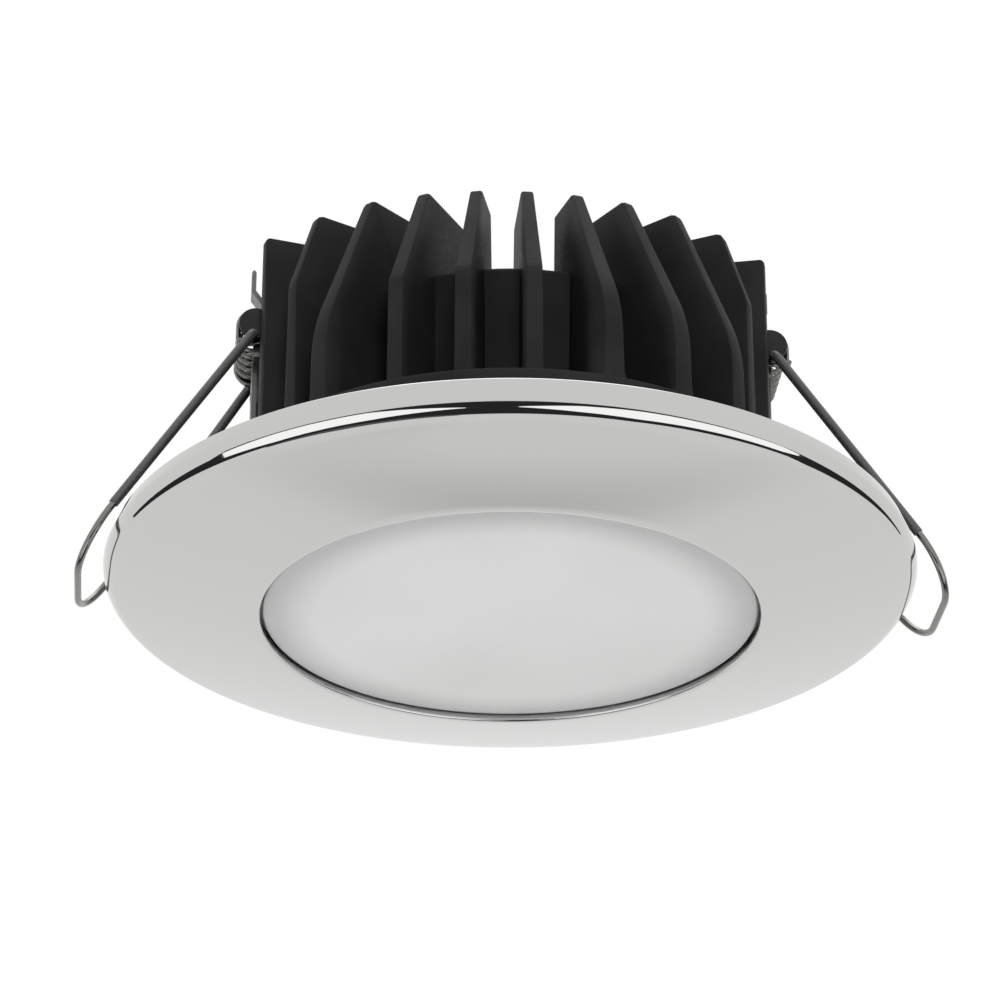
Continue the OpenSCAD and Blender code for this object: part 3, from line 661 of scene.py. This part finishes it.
def along_arm(distances):
    """Points on an arm's straight run, at distances from the stub."""
    return [(p, ARM_S + (p - ARM_P) * math.tan(SPLAY), 0) for p in distances]


def stub_bend(first, steps):
    """The bend from a stub into its arm, from an angle in degrees."""
    centre = ARM_S - STUB_BEND * math.cos(SPLAY)
    return [(p, q, 0) for p, q in arc(STUB_BEND, centre, STUB_BEND, first, 90 + math.degrees(SPLAY), steps)]


def half_bail():
    """Points of one half of the bail, from its stub to the middle of its loop end."""
    loop = arc(CORNER_P, CORNER_Q, LOOP_R, 90 + math.degrees(SPLAY), 0, 16)
    points = [(0, STUB_END, 0)] + stub_bend(180, 10) + along_arm(ARM_POINTS)
    return points + [(p, q, 0) for p, q in loop] + [(BAIL_L, 0, 0)]


def make_bail(side):
    half = half_bail()
    rest = [(p, -q, z) for p, q, z in reversed(half[:-1])]
    bail = put(wire(side + "_wire_bail", half + rest, BAIL_R, 16), bail_place(side))
    smooth(bail, 50)
    dress(bail, bright_wire)
    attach(bail, side + "_clip")
    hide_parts(side + "_bail")


def make_sleeves(side):
    """Soft tubes pulled over the arms and round the bends, up to the bushes."""
    points = stub_bend(160, 8) + along_arm(SLEEVE_POINTS)
    mirrored_points = [(p, -q, z) for p, q, z in points]
    both = [wire("sleeve", route, SLEEVE_R, 16) for route in (points, mirrored_points)]
    sleeves = put(joined(side + "_arm_sleeves", both), bail_place(side))
    rounded(sleeves, 0.1, 2, 60)
    smooth(sleeves, 40)
    dress(sleeves, grey_tubing)
    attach(sleeves, side + "_clip")
    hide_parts(side + "_sleeves")


def coil_points(turns):
    """Points of the coil from its near end. About half a turn at each end lies flat."""
    points = []
    for i in range(int(turns * TURN_STEPS) + 1):
        t = i / TURN_STEPS
        open_turns = min(max(t - CLOSED_NEAR, 0), TURNS - CLOSED_NEAR - CLOSED_FAR)
        a = math.tau * t
        points.append((COIL_R * math.cos(a), COIL_PITCH * open_turns - COIL_HALF, COIL_R * math.sin(a)))
    return points


def leg_points(side):
    """Points of the leg, from over the bail, round its bend and up into the coil's near end."""
    a = bail_angle(side)
    gap = SLEEVE_R + LEG_GAP + SPRING_R
    over = (gap - (COIL_R - STUB_U) * math.sin(a)) / math.cos(a) - STUB_DROP
    first = -COIL_HALF - LEG_BEND
    turned_up = [(first + v, over + w) for v, w in arc(0, LEG_BEND, LEG_BEND, -90, 0, 8)]
    return [(COIL_R, first - LEG_OVER, over)] + [(COIL_R, v, w) for v, w in turned_up]


def make_spring(side):
    """The coil stays with the bracket. The leg that presses on the bail turns with it, and its last
    half turn lies inside the coil's closed end, so that it never comes away from it."""
    tail = [(TAIL_U, COIL_HALF, COIL_R)]
    still = put(wire(side + "_spring_coil", coil_points(TURNS) + tail, SPRING_R, 12), on_side(side))
    smooth(still, 50)
    dress(still, spring_wire)
    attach(still, "body")
    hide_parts(side + "_spring")
    leg = leg_points(side) + coil_points(0.5)
    moving = put(wire(side + "_spring_leg", leg, SPRING_R - LEG_THINNER, 12), on_side(side))
    smooth(moving, 50)
    dress(moving, spring_wire)
    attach(moving, side + "_clip")


def make_bushes(side):
    """Black nylon bushes: a flat head with a rounded rim, a drum inside the coil and a journal."""
    profile = (
        [(0, JOURNAL_END), (JOURNAL, JOURNAL_END), (JOURNAL, DRUM_END), (DRUM, DRUM_END)]
        + [(DRUM, HEAD_BACK), (HEAD_R - 0.1, HEAD_BACK), (HEAD_R, 7.6), (HEAD_R, 8.0)]
        + [(HEAD_R - 0.06, 8.14), (HEAD_R - 0.2, HEAD_FRONT), (0, HEAD_FRONT)]
    )
    turns = [Matrix.Rotation(math.radians(angle), 4, "X") for angle in (-90, 90)]
    both = [put(turned("bush", profile, 48), turn) for turn in turns]
    bushes = put(joined(side + "_hinge_bushes", both), on_side(side))
    smooth(bushes, 40)
    dress(bushes, black_nylon)
    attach(bushes, side + "_clip")
    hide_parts(side + "_bushes")


make_trim()
make_lens()
make_casting()
for side in ("left", "right"):
    make_bail(side)
    make_sleeves(side)
    make_spring(side)
    make_bushes(side)


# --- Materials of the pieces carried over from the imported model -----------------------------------

CARRIED = {
    "soffit_gasket": foam,
    "lens_seal": seal_rubber,
    "reflector": white_plastic,
    "thermal_pad": silicone_pad,
    "led_board": solder_mask,
    "leds": phosphor,
    "wire_terminal": terminal_plastic,
    "board_screws": screw_steel,
    "trim_screws": screw_steel,
    "gland_body": black_nylon,
    "gland_nut": black_nylon,
    "gland_seal": seal_rubber,
    "left_bracket": sheet_steel,
    "right_bracket": sheet_steel,
    "left_bracket_screws": screw_steel,
    "right_bracket_screws": screw_steel,
}
for name, material in CARRIED.items():
    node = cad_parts[name]
    node.data.materials.clear()
    node.data.materials.append(material)


# --- Floor and surroundings ---------------------------------------------------------------------

# From here on, places, sizes and reaches are in metres
FLOOR_Z, FLOOR_SIZE, PAPER = -0.5, 8, "#f2f2f2"
# Strength of the surroundings as light, and as the eye and mirrors see them
AMBIENT, SEEN_WHITE = 0.2, 1.0
WHITE = (1, 1, 1, 1)


def one_of(tree, rays):
    """1 for light rays of any of the kinds named, and 0 for all others."""
    paths = add(tree, "ShaderNodeLightPath")
    found = paths.outputs[rays[0]]
    for ray in rays[1:]:
        both = add(tree, "ShaderNodeMath", {0: found, 1: paths.outputs[ray]}, operation="MAXIMUM")
        found = both.outputs[0]
    return found


def white_paper():
    """Matt white paper for the light that falls on it, pure white to the eye, to glass and to metal."""
    made, tree, out = blank("white_paper")
    seen = one_of(tree, ("Is Camera Ray", "Is Glossy Ray", "Is Transmission Ray"))
    paper = add(tree, "ShaderNodeBsdfDiffuse", {"Color": paint(PAPER)})
    glow = add(tree, "ShaderNodeEmission", {"Color": WHITE, "Strength": SEEN_WHITE})
    mix = add(tree, "ShaderNodeMixShader", {0: seen, 1: paper.outputs[0], 2: glow.outputs[0]})
    tree.links.new(mix.outputs[0], out.inputs["Surface"])
    return made


def make_floor():
    bpy.ops.object.select_all(action="DESELECT")
    bpy.ops.mesh.primitive_plane_add(size=FLOOR_SIZE, location=(0, 0, FLOOR_Z))
    floor = bpy.context.object
    floor.name = "floor"
    floor.data.materials.append(white_paper())


def make_world():
    """Even white surroundings: faint as light, and pure white to the eye and to metal."""
    world = bpy.data.worlds.new("studio")
    bpy.context.scene.world = world
    world.use_nodes = True
    tree = world.node_tree
    tree.nodes.clear()
    out = add(tree, "ShaderNodeOutputWorld")
    seen = one_of(tree, ("Is Camera Ray", "Is Glossy Ray"))
    inputs = {"Value": seen, "To Min": AMBIENT, "To Max": SEEN_WHITE}
    strength = add(tree, "ShaderNodeMapRange", inputs).outputs[0]
    sky = add(tree, "ShaderNodeBackground", {"Color": WHITE, "Strength": strength})
    tree.links.new(sky.outputs[0], out.inputs["Surface"])


# --- Lamps --------------------------------------------------------------------------------------

LAMP_AIM = Vector((0, 0, 0.02))


def lamp(name, place, size, power, glints=False):
    """An area lamp that the camera doesn't see, and that metal mirrors only if it gives glints."""
    data = bpy.data.lights.new(name, "AREA")
    data.shape = "RECTANGLE"
    data.size, data.size_y = size
    data.energy = power
    made = bpy.data.objects.new(name, data)
    bpy.context.scene.collection.objects.link(made)
    made.location = place
    made.rotation_euler = (LAMP_AIM - Vector(place)).to_track_quat("-Z", "Y").to_euler()
    made.visible_camera = False
    made.visible_glossy = glints


# --- What the polished trim mirrors -------------------------------------------------------------

# Angles are degrees in the trim's rounding as the photograph's camera sees it: theta goes round the
# rim from its front, and a round the edge from its wall. The cards are placed for that camera, by
# where the rim is dark and bright in the photograph. The soft boxes stand nearest, and hide what is
# behind them.
DARK_ROOM = {
    "edges": [(-70, 43, 50), (-47.6, 38, 61), (-47, 31.5, 61), (-26, 31.5, 73)]
    + [(12, 31.5, 73.5), (36, 35, 57), (38, 37, 60), (66, 45, 48)],
    "reach": 0.44,
    "strength": 0.03,
}
GREY_FLOOR = {
    "edges": [(-40, 65, 68), (-28, 66, 74), (-12, 71, 74.5)],
    "reach": 0.42,
    "strength": 0.13,
}
LEFT_SOFT_BOX = {
    "edges": [(-47, 35, 50), (-38, 34, 58), (-24, 34.5, 57.5), (-11, 48.5, 50)],
    "reach": 0.40,
    "strength": 1.6,
}
RIGHT_SOFT_BOX = {
    "edges": [(-4, 48, 50), (4, 39.5, 58), (12, 36, 62), (34, 35.5, 50), (37, 38, 43)],
    "reach": 0.40,
    "strength": 1.6,
}
# An oval just above the floor, behind the lamp: its place, its half-widths and its middle's strength
DIM_PATCH, PATCH_SIZE, PATCH_MIDDLE = (0.05, 0.42, -0.49), (0.3, 0.11), 0.7
CARD_COLUMNS, CARD_ROWS = 40, 8


def mirrored(theta, a, reach):
    """The point that the camera sees in the rim's rounding at an angle each way, a reach away."""
    theta, a = math.radians(theta), math.radians(a)
    outward = Vector((math.sin(theta), -math.cos(theta), 0))
    normal = outward * math.cos(a) + Vector((0, 0, -math.sin(a)))
    middle = outward * (RIM - ROUND) + Vector((0, 0, RIM_LOW + ROUND))
    place = (middle + normal * ROUND) * MM
    return place + (place - CAMERA_PLACE).normalized().reflect(normal) * reach


def for_mirrors(sheet, name, strength):
    """Makes a sheet glow for mirrors only, and gives its node tree and glow."""
    sheet.name = name
    made, tree, out = blank(name)
    glow = add(tree, "ShaderNodeEmission", {"Color": WHITE, "Strength": strength})
    tree.links.new(glow.outputs[0], out.inputs["Surface"])
    sheet.data.materials.append(made)
    sheet.visible_camera = False
    sheet.visible_diffuse = False
    sheet.visible_transmission = False
    sheet.visible_shadow = False
    return tree, glow


def card(name, edges, reach, strength):
    """A dark flag or a bright soft box, bent to follow the rim. Its edges are (theta, upper a,
    lower a), and run straight between those points."""
    bpy.ops.object.select_all(action="DESELECT")
    bpy.ops.mesh.primitive_grid_add(x_subdivisions=CARD_COLUMNS, y_subdivisions=CARD_ROWS, size=1)
    sheet = bpy.context.object
    for v in sheet.data.vertices:
        theta = edges[0][0] + (edges[-1][0] - edges[0][0]) * (v.co.x + 0.5)
        here, there = [pair for pair in zip(edges, edges[1:]) if pair[0][0] <= theta + 1e-4][-1]
        t = (theta - here[0]) / (there[0] - here[0])
        upper, lower = (here[i] + (there[i] - here[i]) * t for i in (1, 2))
        v.co = mirrored(theta, upper + (lower - upper) * (v.co.y + 0.5), reach)
    for_mirrors(sheet, name, strength)


def make_dim_patch():
    """An oval with the floor's white at its edge, and dimmer towards its middle."""
    bpy.ops.mesh.primitive_plane_add(size=2, location=DIM_PATCH)
    sheet = bpy.context.object
    sheet.scale = (*PATCH_SIZE, 1)
    tree, glow = for_mirrors(sheet, "dim_patch", SEEN_WHITE)
    inputs = {"Vector": object_place(tree)}
    fade = add(tree, "ShaderNodeTexGradient", inputs, gradient_type="SPHERICAL")
    inputs = {"Value": fade.outputs["Fac"], "To Min": SEEN_WHITE, "To Max": PATCH_MIDDLE}
    level = add(tree, "ShaderNodeMapRange", inputs, interpolation_type="SMOOTHSTEP")
    tree.links.new(level.outputs[0], glow.inputs["Strength"])


make_floor()
make_world()

# The light comes from both sides: it catches the core and the fins' edges, and leaves the fins dark
lamp("soft_left", (-1.0, -0.5, 0.2), (0.5, 0.6), 16)
lamp("soft_right", (1.0, -0.5, 0.2), (0.5, 0.6), 17)
lamp("soft_front", (0.0, -1.1, 0.16), (0.3, 0.3), 12)
lamp("soft_top", (0.0, 0.1, 1.0), (0.8, 0.8), 3, glints=True)

# The rim mirrors a dark room with a soft box on each side
card("dark_room", **DARK_ROOM)
card("grey_floor", **GREY_FLOOR)
card("left_soft_box", **LEFT_SOFT_BOX)
card("right_soft_box", **RIGHT_SOFT_BOX)
make_dim_patch()
